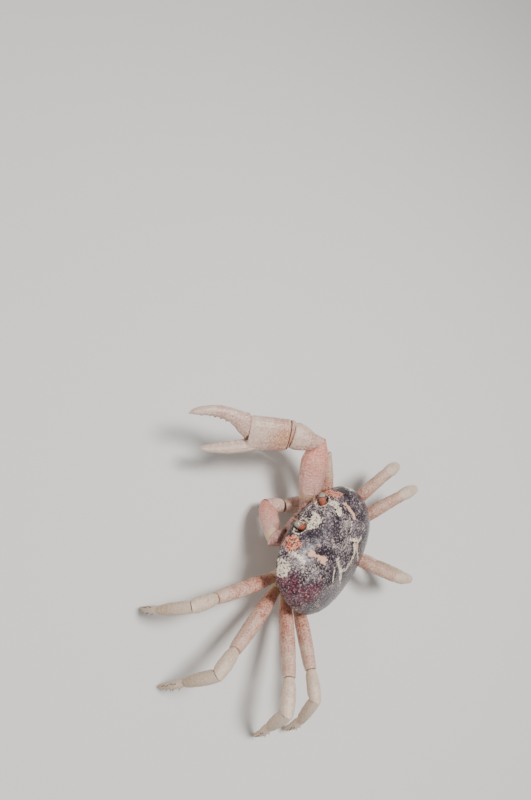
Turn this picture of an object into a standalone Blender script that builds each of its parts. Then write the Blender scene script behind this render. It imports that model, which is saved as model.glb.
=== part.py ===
# Purple land crab, life size, standing with its right claw raised and open.
# Metres, +Z up. The crab faces -Y and its left side is +X.
# Body shapes are drawn in carapace widths and scaled once by WIDTH.
import random

import bmesh
import bpy
import numpy as np
from math import cos, pi, radians, sin, sqrt

# Driving dimensions
WIDTH = 0.085            # carapace width of a large adult
GAP = 0.0003             # clearance between neighbouring pieces, metres
WELD = 1e-7              # slivers shorter than this are closed up, metres
PITCH = radians(20)      # the front of the body is carried high
ROLL = radians(7)        # and its left side a little higher than the right
RIDE = 0.50              # height of the body's widest level, carapace widths

# Carapace, in carapace widths from the middle of its widest level
FRONT = 0.320
REAR = 0.398
CROWN = 0.206
KEEL = 0.267
SEAM = -0.115            # level that parts the carapace from the thorax
EGG = 2.4                # roundness of the outline seen from above

# Eyes
ORBIT = (0.135, -0.300, 0.060)
ORBIT_RADII = (0.056, 0.052, 0.036)
EYE_AXIS = (0.42, -0.86, 0.10)
STALK_RADIUS = 0.027
STALK_LENGTH = 0.075
CORNEA = 0.029
FRONT_NOTCH = (0.0, -0.328, -0.040)      # under the edge of the front
NOTCH_RADII = (0.105, 0.030, 0.015)

# Where each leg leaves the body, left side, in carapace widths
HIPS = {
    "claw": (0.215, -0.230, -0.190),
    "leg_1": (0.345, 0.035, -0.262),
    "leg_2": (0.365, 0.132, -0.270),
    "leg_3": (0.338, 0.230, -0.260),
    "leg_4": (0.275, 0.318, -0.240),
}

# Lengths of merus, carpus, propodus and dactyl
LEG_LENGTHS = {
    "leg_1": (0.52, 0.20, 0.27, 0.29),
    "leg_2": (0.60, 0.21, 0.30, 0.32),
    "leg_3": (0.60, 0.21, 0.30, 0.32),
    "leg_4": (0.50, 0.19, 0.27, 0.28),
}

# Degrees: heading aft of straight out, lean of the leg's plane, drop of the
# carpus from the merus, then the slopes of propodus and dactyl
LEG_POSES = {
    ("leg_1", "left"): (-30, -5, 0, -56, -78),
    ("leg_2", "left"): (-4, -6, 2, -65, -68),
    ("leg_3", "left"): (35, 5, 18, -68, -71),
    ("leg_4", "left"): (44, 0, 6, -55, -70),
    ("leg_1", "right"): (-85, 31, 54, -55, -84),
    ("leg_2", "right"): (8, -15, 78, -120, -138),
    ("leg_3", "right"): (18, -11, 66, -119, -141),
    ("leg_4", "right"): (58, 23, 78, -122, -133),
}

# Coxae start inside the thorax, at this share of the hip's distance from the middle
HUB_SHARE = 0.45
HUB_LEVEL = -0.130
LEG_HIP_RADIUS = 0.046
CLAW_HIP_RADIUS = 0.056

# Claw joints on the level body, carapace widths: elbow and wrist, then
# the palm's heading and the side on which the movable finger sits
CLAW_POSES = {
    "right": dict(elbow=(-0.425, -0.593, -0.033), wrist=(-0.285, -0.765, -0.094),
                  heading=(0.694, -0.582, -0.422), thumb=(-0.238, -0.893, 0.380),
                  size=1.0, open_top=43, open_low=20, hook=1.20),
    "left": dict(elbow=(-0.031, -0.318, -0.428), wrist=(-0.139, -0.203, -0.452),
                 heading=(-0.846, 0.46, 0.257), thumb=(0.122, -0.386, 0.916),
                 size=0.72, open_top=16, open_low=7, hook=0.60),
}
PALM_LENGTH = 0.325
PALM_HEIGHT = 0.262
PALM_THICKNESS = 0.150
MOVING_LENGTH = 0.470
MOVING_WIDTH = 0.056     # half width at the root
MOVING_OFFSET = 0.165    # above the palm's middle, in palm heights
FIXED_LENGTH = 0.430
FIXED_WIDTH = 0.052
FIXED_OFFSET = 0.285     # below the palm's middle, in palm heights
FIXED_INSET = 0.10       # its root lies this far back inside the palm
FIXED_HOOK = 0.30        # its bend, as a share of the movable finger's

# Repeats that grow from their pieces: biting teeth, edge granules and toe spines
TOOTH_PLACES = (0.36, 0.46, 0.57, 0.68, 0.78)
TOOTH_RADIUS = 0.0135
GRANULE_COUNT = 6
GRANULE_RADIUS = 0.0085
GRANULE_RISE = 0.0075
SPINE_PLACES = (0.22, 0.37, 0.52, 0.66)
SPINE_ROWS = (45, 135)
SPINE_RADIUS = 0.0048
SPINE_LENGTH = 0.0150

SHELL_DARK = (0.10, 0.075, 0.09)
SHELL_PALE = (0.62, 0.50, 0.42)
LEG_PINK = (0.48, 0.24, 0.20)
CLAW_BUFF = (0.66, 0.50, 0.43)
STALK_RED = (0.55, 0.16, 0.08)
EYE_GREY = (0.34, 0.33, 0.31)


def unit(v):
    v = np.asarray(v, float)
    return v / np.linalg.norm(v)


def stand(p):
    """A point of the level body, pitched and lifted to its standing place."""
    x, y, z = p
    y, z = y * cos(PITCH) + z * sin(PITCH), -y * sin(PITCH) + z * cos(PITCH)
    return np.array((x * cos(ROLL) - z * sin(ROLL), y, x * sin(ROLL) + z * cos(ROLL) + RIDE))


def turn(direction):
    """A direction in the body's own frame, as it is in the stance."""
    return unit(stand(direction) - stand((0, 0, 0)))


def paint(name, colour, roughness):
    material = bpy.data.materials.new(name)
    material.use_nodes = True
    shader = material.node_tree.nodes["Principled BSDF"]
    shader.inputs["Base Color"].default_value = (*colour, 1.0)
    shader.inputs["Roughness"].default_value = roughness
    return material


def mesh_object(name, points, faces, colour=SHELL_PALE, roughness=0.45):
    """One object from points in carapace widths, with faces made to point out."""
    mesh = bpy.data.meshes.new(name)
    mesh.from_pydata([tuple(p * WIDTH) for p in np.asarray(points)], [], faces)
    shell = bmesh.new()
    shell.from_mesh(mesh)
    bmesh.ops.recalc_face_normals(shell, faces=shell.faces)
    bmesh.ops.triangulate(shell, faces=shell.faces)
    shell.to_mesh(mesh)
    shell.free()
    mesh.shade_smooth()
    mesh.set_sharp_from_angle(angle=radians(50))
    thing = bpy.data.objects.new(name, mesh)
    bpy.context.collection.objects.link(thing)
    thing.data.materials.append(paint(name, colour, roughness))
    thing.parent = ROOT
    return thing


def skin(rings, tips=(None, None)):
    """Faces over rings of equal count, each end capped or drawn to a tip."""
    count = len(rings[0])
    points = [p for ring in rings for p in ring]
    faces = []
    for i in range(len(rings) - 1):
        for j in range(count):
            k = (j + 1) % count
            faces.append((i * count + j, i * count + k, (i + 1) * count + k, (i + 1) * count + j))
    for tip, start in zip(tips, (0, (len(rings) - 1) * count)):
        if tip is None:
            faces.append(tuple(range(start, start + count)))
        else:
            points.append(tip)
            faces += [(len(points) - 1, start + j, start + (j + 1) % count) for j in range(count)]
    return points, faces


def oval(centre, side, up, width, height, count, power):
    """A ring of a rounded box section, with half width and half height."""
    ring = []
    for j in range(count):
        c, s = cos(2 * pi * (j + 0.5) / count), sin(2 * pi * (j + 0.5) / count)
        x = width * np.sign(c) * abs(c) ** (2 / power)
        y = height * np.sign(s) * abs(s) ** (2 / power)
        ring.append(centre + side * x + up * y)
    return ring


def onto(ring, along, centre, normal):
    """The ring slid along its limb onto a plane."""
    return [p + along * (np.dot(centre - p, normal) / np.dot(along, normal)) for p in ring]


def limb(start, end, up, stations, count=12, power=2.3, faces_in=None, grow=0.0):
    """A limb piece as rings from start to end.

    Each station is (share of the length, half height, half width, lift).
    faces_in holds the normals of the two joint planes, which stand half a
    gap short of the joints.
    """
    along = unit(end - start)
    side = unit(np.cross(along, up))
    up = np.cross(side, along)
    length = np.linalg.norm(end - start)
    rings = []
    for share, height, width, lift in stations:
        centre = start + along * length * share + up * lift
        rings.append(oval(centre, side, up, width + grow, height + grow, count, power))
    half = 0.5 * GAP / WIDTH
    if faces_in:
        first, last = unit(faces_in[0]), unit(faces_in[1])
        rings[0] = onto(rings[0], along, start + first * half, first)
        rings[-1] = onto(rings[-1], along, end - last * half, last)
        for i, (share, *_) in enumerate(stations[1:-1], 1):
            room = 0.3 * length * share
            rings[i] = [push(p, along, start, first, room) for p in rings[i]]
            room = 0.3 * length * (1 - share)
            rings[i] = [push(p, -along, end, -last, room) for p in rings[i]]
    return rings


def push(p, along, origin, normal, room):
    """The point, moved along the limb until it stands clear of a joint plane."""
    short = room - np.dot(p - origin, normal)
    return p + along * max(0.0, short) / np.dot(along, normal)


def join(target, extras, operation):
    """Fuses closed shapes into the target, or cuts them out of it."""
    gather = bpy.data.collections.new("tools")
    for extra in extras:
        gather.objects.link(extra)
    least = volume(target.data)
    if operation == "DIFFERENCE":
        least -= sum(volume(extra.data) for extra in extras)
    for solver in ("EXACT", "MANIFOLD"):
        step = target.modifiers.new("join", "BOOLEAN")
        step.operation = operation
        step.operand_type = "COLLECTION"
        step.collection = gather
        step.solver = solver
        graph = bpy.context.evaluated_depsgraph_get()
        graph.update()
        result = bpy.data.meshes.new_from_object(target.evaluated_get(graph))
        target.modifiers.clear()
        largest_only(result)
        if is_closed(result) and volume(result) > 0.999 * least:
            break
    target.data = result
    for extra in extras:
        bpy.data.objects.remove(extra)
    bpy.data.collections.remove(gather)
    result.shade_smooth()
    result.set_sharp_from_angle(angle=radians(50))


def volume(mesh):
    shell = bmesh.new()
    shell.from_mesh(mesh)
    size = shell.calc_volume()
    shell.free()
    return size


def is_closed(mesh):
    shell = bmesh.new()
    shell.from_mesh(mesh)
    closed = len(shell.faces) > 0 and all(len(edge.link_faces) == 2 for edge in shell.edges)
    shell.free()
    return closed


def largest_only(mesh):
    """Welds slivers and keeps the largest closed surface of a mesh."""
    shell = bmesh.new()
    shell.from_mesh(mesh)
    bmesh.ops.remove_doubles(shell, verts=shell.verts, dist=WELD)
    bmesh.ops.dissolve_degenerate(shell, dist=WELD, edges=shell.edges)
    seen = set()
    groups = []
    for face in shell.faces:
        if face in seen:
            continue
        stack, group = [face], []
        seen.add(face)
        while stack:
            one = stack.pop()
            group.append(one)
            near = {other for edge in one.edges for other in edge.link_faces} - seen
            seen |= near
            stack += sorted(near, key=lambda f: f.index)
        groups.append(group)
    groups.sort(key=lambda g: sum(f.calc_area() for f in g), reverse=True)
    spare = [f for g in groups[1:] for f in g]
    bmesh.ops.delete(shell, geom=spare, context="FACES")
    bmesh.ops.delete(shell, geom=[v for v in shell.verts if not v.link_faces], context="VERTS")
    bmesh.ops.triangulate(shell, faces=shell.faces)
    shell.to_mesh(mesh)
    shell.free()


# Body
def fullness(x):
    return max(0.0, 1 - abs(2 * x) ** EGG) ** (1 / EGG)


def near_line(x, y, points):
    """Distance from (x, y) to a line of points, mirrored in the midline."""
    here = np.array((abs(x), y))
    best = 9.0
    for a, b in zip(points[:-1], points[1:]):
        a, b = np.array(a), np.array(b)
        t = np.clip(np.dot(here - a, b - a) / np.dot(b - a, b - a), 0, 1)
        best = min(best, np.linalg.norm(here - a - t * (b - a)))
    return best


GROOVES = (
    ((0.100, -0.040), (0.085, 0.050), (0.120, 0.160)),
    ((0.085, 0.055), (0.000, 0.080)),
    ((0.100, -0.040), (0.170, -0.080), (0.270, -0.170)),
)
GROOVE_DEPTH = 0.011
GROOVE_WIDTH = 0.024


def relief(x, y):
    """Regions of the shell that stand up, and the grooves between them."""
    gastric = 0.016 * np.exp(-(x / 0.13) ** 2 - ((y + 0.13) / 0.11) ** 2)
    cardiac = 0.010 * np.exp(-(x / 0.07) ** 2 - ((y - 0.17) / 0.08) ** 2)
    gill = 0.014 * np.exp(-((abs(x) - 0.28) / 0.13) ** 2 - ((y - 0.02) / 0.17) ** 2)
    cut = sum(np.exp(-(near_line(x, y, g) / GROOVE_WIDTH) ** 2) for g in GROOVES)
    return gastric + cardiac + gill - GROOVE_DEPTH * min(cut, 1.2)


def body_section(x, count):
    """One closed section of the body across its length, at a distance x."""
    k = fullness(x)
    low = max(0.0, 1 - abs(2 * x) ** 1.7) ** 0.9
    lobe = 0.014 * np.exp(-(x / 0.075) ** 4)
    points = []
    for j in range(count):
        turn = 2 * pi * j / count
        c, s = cos(turn), sin(turn)
        if s >= -1e-9:
            reach = (FRONT + lobe if c > 0 else REAR) * k
            rise = (1 - abs(c) ** 2.6) ** (1 / 1.9) if c > 0 else 1 - abs(c) ** 1.81
            y = -c * reach
            points.append((x, y, k * max(rise, 0.0) * (CROWN + relief(x, y))))
        else:
            s = -s
            reach = FRONT * (1 - 0.35 * s) if c > 0 else REAR * (1 - 0.10 * s)
            reach += lobe * max(0.0, 1 - 3 * s) if c > 0 else 0.0
            points.append((x, -c * reach * k, -KEEL * s * low))
    return points


def body_shell(name, stations=37, count=44):
    rings = []
    for i in range(1, stations - 1):
        x = 0.5 * sin(pi * (i / (stations - 1) - 0.5))
        rings.append([stand(p) for p in body_section(x, count)])
    points, faces = skin(rings, (stand((-0.5, 0, 0)), stand((0.5, 0, 0))))
    return mesh_object(name, points, faces, SHELL_DARK, 0.35)


def slab(low, high):
    """A wide cutter between two levels of the body."""
    corners = [stand((x, y, z)) for z in (low, high) for x, y in ((-1, -1), (1, -1), (1, 1), (-1, 1))]
    faces = [(0, 1, 2, 3), (4, 5, 6, 7), (0, 1, 5, 4), (1, 2, 6, 5), (2, 3, 7, 6), (3, 0, 4, 7)]
    return mesh_object("slab", corners, faces)


def ball(name, centre, radii, columns=12, rows=7, place=stand):
    rings = []
    for i in range(1, rows):
        level = pi * (i / rows - 0.5)
        ring = [np.array((cos(2 * pi * j / columns) * cos(level), sin(2 * pi * j / columns) * cos(level),
                          sin(level))) for j in range(columns)]
        rings.append([place(np.array(centre) + p * np.array(radii)) for p in ring])
    poles = [place(np.array(centre) + np.array((0, 0, s)) * np.array(radii)) for s in (-1, 1)]
    return mesh_object(name, *skin(rings, poles))


def mirrored(p, hand):
    return np.array((hand * p[0], p[1], p[2]))


def eye_frame(hand):
    """Root, joint with the cornea, and axis of one eye, in the standing frame."""
    axis = unit(mirrored(EYE_AXIS, hand))
    root = mirrored(ORBIT, hand) - axis * 0.045
    neck = root + axis * STALK_LENGTH
    tip = neck + axis * CORNEA
    return stand(root), stand(neck), stand(tip)


def eyestalk(name, hand, grow=0.0):
    root, neck, tip = eye_frame(hand)
    along = unit(neck - root)
    back = grow * along
    shape = ((0.0, 0.55), (0.3, 0.80), (0.65, 1.0), (1.0, 0.92))
    stations = [(t, r * STALK_RADIUS, r * STALK_RADIUS, 0.0) for t, r in shape]
    rings = limb(root - back, neck + back, np.array((0, 0, 1.0)), stations, 12, 2.0, (along, along), grow)
    return mesh_object(name, *skin(rings), STALK_RED, 0.35)


def eye(name, hand):
    root, neck, tip = eye_frame(hand)
    along = unit(tip - neck)
    start = neck + along * 0.5 * GAP / WIDTH
    rings = []
    side = unit(np.cross(along, (0, 0, 1.0)))
    up = np.cross(side, along)
    for level in np.radians((0, 25, 50, 73)):
        radius = STALK_RADIUS * 0.95 * cos(level)
        rings.append(oval(start + along * (CORNEA * sin(level)), side, up, radius, radius, 12, 2.0))
    return mesh_object(name, *skin(rings, (None, start + along * CORNEA)), EYE_GREY, 0.1)


ANTENNA_ROOT = (0.092, -0.300, 0.010)
ANTENNA_TIP = (0.150, -0.385, 0.020)
ANTENNA_RADIUS = 0.0085


def antenna(name, hand, grow=0.0):
    root, tip = stand(mirrored(ANTENNA_ROOT, hand)), stand(mirrored(ANTENNA_TIP, hand))
    along = unit(tip - root)
    stations = [(t, r * ANTENNA_RADIUS, r * ANTENNA_RADIUS, lift)
                for t, r, lift in ((0, 1.2, 0), (0.3, 1.1, 0), (0.65, 0.8, 0.004), (1, 0.45, 0.0))]
    start = root - along * grow
    rings = limb(start, tip, np.array((0, 0, 1.0)), stations, 8, 2.0, (along, along), grow)
    return mesh_object(name, *skin(rings), LEG_PINK, 0.5)


def face_line(depth):
    """The front of the underside on the midline, at a depth below the rim."""
    s = depth / KEEL
    return np.array((0.0, -FRONT * (1 - 0.35 * s) * sqrt(1 - s * s), -depth))


def maxilliped(name, hand, grow=0.0):
    """A mouth plate that bends outwards, so that the pair gapes."""
    rings = []
    levels = ((0.232, 0.043, 0.030), (0.205, 0.058, 0.043), (0.165, 0.073, 0.051),
              (0.125, 0.081, 0.051), (0.090, 0.075, 0.050), (0.066, 0.070, 0.042))
    for i, (depth, out, width) in enumerate(levels):
        centre = face_line(depth) + np.array((hand * out, 0, 0))
        ahead = face_line(max(depth - 0.02, 0)) - face_line(depth + 0.02)
        along = unit(ahead)
        front = unit(np.cross(along, (-1, 0, 0)))
        end = {0: -1, len(levels) - 1: 1}.get(i, 0)
        centre = centre + front * 0.004 + along * end * grow
        thick = 0.026 if 0 < i < len(levels) - 1 else 0.018
        ring = oval(centre, np.array((1.0, 0, 0)), front, width + grow, thick + grow, 12, 2.8)
        rings.append([stand(p) for p in ring])
    return mesh_object(name, *skin(rings), SHELL_PALE, 0.5)


def abdomen(name, grow=0.0):
    """The flap folded up under the thorax, one swelling for each segment."""
    rings = []
    segments = 7
    steps = segments * 2
    for i in range(steps + 1):
        share = i / steps
        turn = radians(8 + 78 * share)
        y = REAR * (1 - 0.10 * sin(turn)) * cos(turn)
        centre = np.array((0.0, y, -KEEL * sin(turn)))
        tangent = unit(np.array((0.0, -REAR * sin(turn), -KEEL * cos(turn))))
        out = unit(np.cross(tangent, (1.0, 0, 0)))
        swell = 1.0 if i % 2 else 0.86
        width = (0.135 * (1 - share) ** 0.8 + 0.040) * swell
        thick = 0.028 * swell * (1 - 0.35 * share)
        end = {0: -1, steps: 1}.get(i, 0)
        centre = centre + tangent * end * grow
        ring = oval(centre, np.array((1.0, 0, 0)), out, width + grow, thick + grow, 12, 2.4)
        rings.append([stand(p) for p in ring])
    return mesh_object(name, *skin(rings), SHELL_PALE, 0.5)


# Limbs
def spike(base, tip, radius, count=5):
    """A small closed cone with a slight belly, its foot at base."""
    along = unit(tip - base)
    side = unit(np.cross(along, (0.31, 0.52, 0.79)))
    up = np.cross(side, along)
    middle = base + 0.5 * (tip - base)
    rings = [oval(base, side, up, radius, radius, count, 2.0),
             oval(middle, side, up, 0.82 * radius, 0.82 * radius, count, 2.0)]
    return mesh_object("spike", *skin(rings, (None, tip)))


def toe_spines(line, side, up, along, hand):
    """Rows of spines on a dactyl; line gives its middle and half sizes at a share."""
    chance = random.Random(11 + hand)
    spines = []
    for row in SPINE_ROWS:
        for place in SPINE_PLACES:
            share = place + chance.uniform(-0.03, 0.03)
            angle = radians(row + chance.uniform(-8, 8))
            centre, height, width = line(share)
            out = unit(side * cos(angle) * width + up * sin(angle) * height)
            skin_at = centre + side * cos(angle) * width + up * sin(angle) * height
            lean = unit(out + 0.8 * along)
            radius = SPINE_RADIUS * (1.15 - 0.5 * share)
            length = SPINE_LENGTH * chance.uniform(0.8, 1.1)
            spines.append(spike(skin_at - out * 1.6 * radius, skin_at + lean * length, radius, 4))
    return spines


def leg_chain(leg, hand_name, lift):
    """Joints of a leg from hip to toe, and the side direction of its plane."""
    hand = 1 if hand_name == "left" else -1
    heading, lean, drop, slope_3, slope_4 = LEG_POSES[(leg, hand_name)]
    heading, lean = radians(heading), radians(lean)
    out = np.array((hand * cos(heading), sin(heading), 0.0))
    side = np.cross(out, (0, 0, 1.0))
    up = np.array((0, 0, 1.0)) * cos(lean) + side * sin(lean)
    joints = [stand(mirrored(HIPS[leg], hand))]
    slopes = (lift, lift - radians(drop), radians(slope_3), radians(slope_4))
    for slope, length in zip(slopes, LEG_LENGTHS[leg]):
        joints.append(joints[-1] + length * (cos(slope) * out + sin(slope) * up))
    return joints, np.cross(out, up)


def standing_leg(leg, hand_name):
    """The lift of the merus that sets the toe on the floor."""
    low, high = radians(-20), radians(70)
    for _ in range(40):
        middle = 0.5 * (low + high)
        if leg_chain(leg, hand_name, middle)[0][-1][2] > 0:
            high = middle
        else:
            low = middle
    return leg_chain(leg, hand_name, 0.5 * (low + high))


# Stations of each leg piece: share, half height, half width, lift
LEG_SHAPES = (
    ("merus", ((0, 0.040, 0.036, 0), (0.12, 0.050, 0.040, 0), (0.35, 0.062, 0.050, 0.004),
               (0.65, 0.062, 0.050, 0.004), (0.90, 0.054, 0.045, 0), (1, 0.046, 0.041, 0))),
    ("carpus", ((0, 0.036, 0.034, 0), (0.25, 0.046, 0.045, 0.003), (0.60, 0.052, 0.049, 0.004),
                (0.85, 0.048, 0.046, 0), (1, 0.043, 0.041, 0))),
    ("propodus", ((0, 0.038, 0.036, 0), (0.20, 0.044, 0.042, 0), (0.60, 0.042, 0.040, 0),
                  (0.88, 0.036, 0.034, 0), (1, 0.031, 0.029, 0))),
)
TOE_RADIUS = 0.0085
DACTYL_SHAPE = ((0, 0.027, 0.025), (0.2, 0.031, 0.029), (0.45, 0.026, 0.024), (0.70, 0.019, 0.018),
                (0.88, 0.013, 0.0115))


def leg_dactyl(name, start, toe, up, plane, hand):
    """The pointed last piece, ending in a small flat on the floor."""
    along = unit(toe - start)
    length = np.linalg.norm(toe - start)
    side = unit(np.cross(along, up))
    up = np.cross(side, along)
    shares, heights, widths = zip(*DACTYL_SHAPE)

    def line(share):
        bow = 0.03 * length * sin(pi * share)
        centre = start + along * length * share + up * bow
        return centre, np.interp(share, shares, heights), np.interp(share, shares, widths)

    rings = []
    for share in shares:
        centre, height, width = line(share)
        rings.append(oval(centre, side, up, width, height, 10, 2.2))
    rings[0] = onto(rings[0], along, start + plane * 0.5 * GAP / WIDTH, plane)
    last = oval(toe, side, up, TOE_RADIUS, TOE_RADIUS, 10, 2.0)
    rings.append(onto(last, along, toe, np.array((0, 0, 1.0))))
    dactyl = mesh_object(name, *skin(rings), CLAW_BUFF, 0.5)
    join(dactyl, toe_spines(line, side, up, along, hand), "UNION")


def leg_pieces(leg, hand_name):
    joints, side = standing_leg(leg, hand_name)
    size = 1.0 if leg != "leg_4" else 0.92
    dirs = [unit(b - a) for a, b in zip(joints[:-1], joints[1:])]
    hand = 1 if hand_name == "left" else -1
    planes = [unit(hip_axis(leg, hand, dirs[0]) + dirs[0])]
    planes += [unit(a + b) for a, b in zip(dirs[:-1], dirs[1:])]
    for i, (piece, shape) in enumerate(LEG_SHAPES):
        up = np.cross(side, dirs[i])
        stations = [(t, h * size, w * size, lift) for t, h, w, lift in shape]
        rings = limb(joints[i], joints[i + 1], up, stations, 12, 2.3, (planes[i], planes[i + 1]))
        colour = LEG_PINK if i < 1 else SHELL_PALE
        mesh_object(f"{leg}_{piece}_{hand_name}", *skin(rings), colour, 0.5)
    up = np.cross(side, dirs[3])
    leg_dactyl(f"{leg}_dactyl_{hand_name}", joints[3], joints[4], up, planes[3], hand)
    return dirs[0]


def hip_root(part, hand):
    """Where a coxa starts, well inside the thorax."""
    x, y, z = HIPS[part]
    return stand((hand * x * HUB_SHARE, y * 0.85, HUB_LEVEL))


def hip_axis(part, hand, along):
    """The way a coxa points, mostly down and out of the thorax towards its leg."""
    joint = stand(mirrored(HIPS[part], hand))
    return unit(unit(joint - hip_root(part, hand)) + 0.35 * along)


def hip(part, hand, along):
    """A coxa, from inside the thorax out to the leg's first joint."""
    joint = stand(mirrored(HIPS[part], hand))
    axis = hip_axis(part, hand, along)
    radius = CLAW_HIP_RADIUS if part == "claw" else LEG_HIP_RADIUS
    inner = joint - axis * np.linalg.norm(joint - hip_root(part, hand))
    stations = ((0, radius, radius, 0), (0.5, radius * 1.12, radius * 1.05, 0),
                (0.85, radius * 1.08, radius, 0), (1, radius, radius * 0.92, 0))
    rings = limb(inner, joint, np.array((0, 0, 1.0)), stations, 12, 2.2, (axis, axis + along))
    return mesh_object("hip", *skin(rings), LEG_PINK, 0.5)


# Claw stations: share, half height, half width, lift, in carapace widths
CLAW_MERUS = ((0, 0.058, 0.060, 0), (0.15, 0.072, 0.078, 0), (0.40, 0.078, 0.098, 0),
              (0.70, 0.076, 0.102, 0), (0.90, 0.060, 0.082, 0), (1, 0.046, 0.054, 0))
CLAW_CARPUS = ((0, 0.048, 0.056, 0), (0.24, 0.064, 0.072, 0.000), (0.50, 0.088, 0.084, 0.006),
               (0.80, 0.104, 0.080, 0.006), (1, 0.094, 0.064, 0))
PALM_SHAPE = ((0, 0.43, 0.60, 0), (0.07, 0.46, 0.84, 0), (0.35, 0.47, 1.0, 0), (0.65, 0.485, 1.0, 0),
              (0.88, 0.50, 0.90, 0), (1.0, 0.48, 0.74, 0))
# Finger stations: share of the length and half height
MOVING_SHAPE = ((0, 0.074), (0.08, 0.076), (0.18, 0.066), (0.32, 0.053), (0.48, 0.044), (0.64, 0.038),
                (0.78, 0.030), (0.90, 0.020))
FIXED_SHAPE = ((0, 0.040), (0.20, 0.044), (0.36, 0.043), (0.52, 0.039), (0.68, 0.033), (0.82, 0.025),
               (0.93, 0.015))


def finger_line(root, heading, bend_to, length, curve, share):
    """A point on a finger's bent middle line, and the way it points there."""
    turned = curve * share
    along = unit(heading * cos(turned) + bend_to * sin(turned))
    run = share if curve < 1e-6 else sin(turned) / curve
    sag = 0.0 if curve < 1e-6 else (1 - cos(turned)) / curve
    return root + length * (heading * run + bend_to * sag), along


def finger(name, line, side, form, width, face=None, count=10):
    """A tapered finger; line is its root, heading and bend, form its length, shape and curve."""
    root, heading, bend_to = line
    length, shape, curve = form
    rings = []
    for share, height in shape:
        centre, along = finger_line(root, heading, bend_to, length, curve, share)
        breadth = width * (0.35 + 0.65 * height / shape[0][1])
        rings.append(oval(centre, side, np.cross(side, along), breadth, height, count, 2.2))
    tip = finger_line(root, heading, bend_to, length, curve, 1.0)[0]
    if face is not None:
        flat = root + face * 0.5 * GAP / WIDTH
        rings[0] = onto(rings[0], heading, flat, face)
        for i, (share, _) in enumerate(shape[1:], 1):
            rings[i] = [push(p, heading, flat, face, 0.25 * length * share) for p in rings[i]]
    return mesh_object(name, *skin(rings, (None, tip)), CLAW_BUFF, 0.45)


def edge_granules(start, end, up, stations, size, seed):
    """Granules in a row along both edges of a claw's merus."""
    chance = random.Random(seed)
    along = unit(end - start)
    side = unit(np.cross(along, up))
    length = np.linalg.norm(end - start)
    shares = [station[0] for station in stations]
    widths = [station[2] for station in stations]
    granules = []
    for edge in (side, -side):
        for i in range(GRANULE_COUNT):
            share = 0.22 + 0.62 * (i + chance.uniform(0.2, 0.8)) / GRANULE_COUNT
            reach = np.interp(share, shares, widths)
            centre = start + along * length * share
            radius = GRANULE_RADIUS * size * chance.uniform(0.8, 1.15)
            foot = centre + edge * (reach - 1.2 * radius)
            granules.append(spike(foot, centre + edge * (reach + GRANULE_RISE * size), radius))
    return granules


def biting_teeth(line, form, size, seed):
    """Blunt teeth along the inner edge of a finger."""
    root, heading, bend_to = line
    length, shape, curve = form
    chance = random.Random(seed)
    teeth = []
    for share in TOOTH_PLACES:
        share += chance.uniform(-0.02, 0.02)
        centre, along = finger_line(root, heading, bend_to, length, curve, share)
        height = np.interp(share, [t for t, h in shape], [h for t, h in shape])
        inward = unit(bend_to - along * np.dot(bend_to, along))
        radius = TOOTH_RADIUS * size * chance.uniform(0.8, 1.3)
        foot = centre + inward * (height - 0.9 * radius)
        teeth.append(spike(foot, centre + inward * (height + 1.1 * radius), radius))
    return teeth


def claw_pieces(hand_name):
    hand = 1 if hand_name == "left" else -1
    pose = CLAW_POSES[hand_name]
    size = pose["size"]
    base = stand(mirrored(HIPS["claw"], hand))
    elbow, wrist = stand(pose["elbow"]), stand(pose["wrist"])
    heading = turn(pose["heading"])
    thumb = turn(pose["thumb"])
    thumb = unit(thumb - heading * np.dot(thumb, heading))
    side = np.cross(heading, thumb)
    knuckle = wrist + heading * PALM_LENGTH * size
    dirs = [unit(elbow - base), unit(wrist - elbow), heading]
    planes = [unit(hip_axis("claw", hand, dirs[0]) + dirs[0]), unit(dirs[0] + dirs[1])]
    planes.append(unit(dirs[1] + heading))
    scaled = []
    for shape in (CLAW_MERUS, CLAW_CARPUS):
        scaled.append([(t, h * size, w * size, lift) for t, h, w, lift in shape])
    names = ("merus", "carpus")
    colours = (LEG_PINK, CLAW_BUFF)
    arm = []
    for i, (a, b) in enumerate(((base, elbow), (elbow, wrist))):
        rings = limb(a, b, thumb, scaled[i], 14, 2.3, (planes[i], planes[i + 1]))
        arm.append(mesh_object(f"claw_{names[i]}_{hand_name}", *skin(rings), colours[i], 0.45))
    join(arm[0], edge_granules(base, elbow, thumb, scaled[0], size, 9), "UNION")
    palm_stations = [(t, h * PALM_HEIGHT * size, w * 0.5 * PALM_THICKNESS * size, lift * size)
                     for t, h, w, lift in PALM_SHAPE]
    fixed_shape = [(t, h * size) for t, h in FIXED_SHAPE]
    moving_shape = [(t, h * size) for t, h in MOVING_SHAPE]
    rings = limb(wrist, knuckle, thumb, palm_stations, 16, 2.4, (planes[2], heading))
    palm = mesh_object(f"claw_palm_{hand_name}", *skin(rings), CLAW_BUFF, 0.45)
    open_top, open_low = radians(pose["open_top"]), radians(pose["open_low"])
    low_root = knuckle - thumb * FIXED_OFFSET * PALM_HEIGHT * size - heading * FIXED_INSET * size
    low_heading = heading * cos(open_low) - thumb * sin(open_low)
    low_line = (low_root, low_heading, np.cross(side, low_heading))
    low_hook = FIXED_HOOK * pose["hook"]
    low = (FIXED_LENGTH * size, fixed_shape, low_hook)
    join(palm, [finger("fixed", low_line, side, low, FIXED_WIDTH * size)], "UNION")
    join(palm, biting_teeth(low_line, low, size, 3), "UNION")
    top_root = knuckle + thumb * MOVING_OFFSET * PALM_HEIGHT * size
    top_heading = heading * cos(open_top) + thumb * sin(open_top)
    top_line = (top_root, top_heading, -np.cross(side, top_heading))
    top = (MOVING_LENGTH * size, moving_shape, pose["hook"])
    moving = finger(f"claw_finger_{hand_name}", top_line, side, top, MOVING_WIDTH * size, heading)
    join(moving, biting_teeth(top_line, top, size, 5), "UNION")
    return dirs[0]


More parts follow.
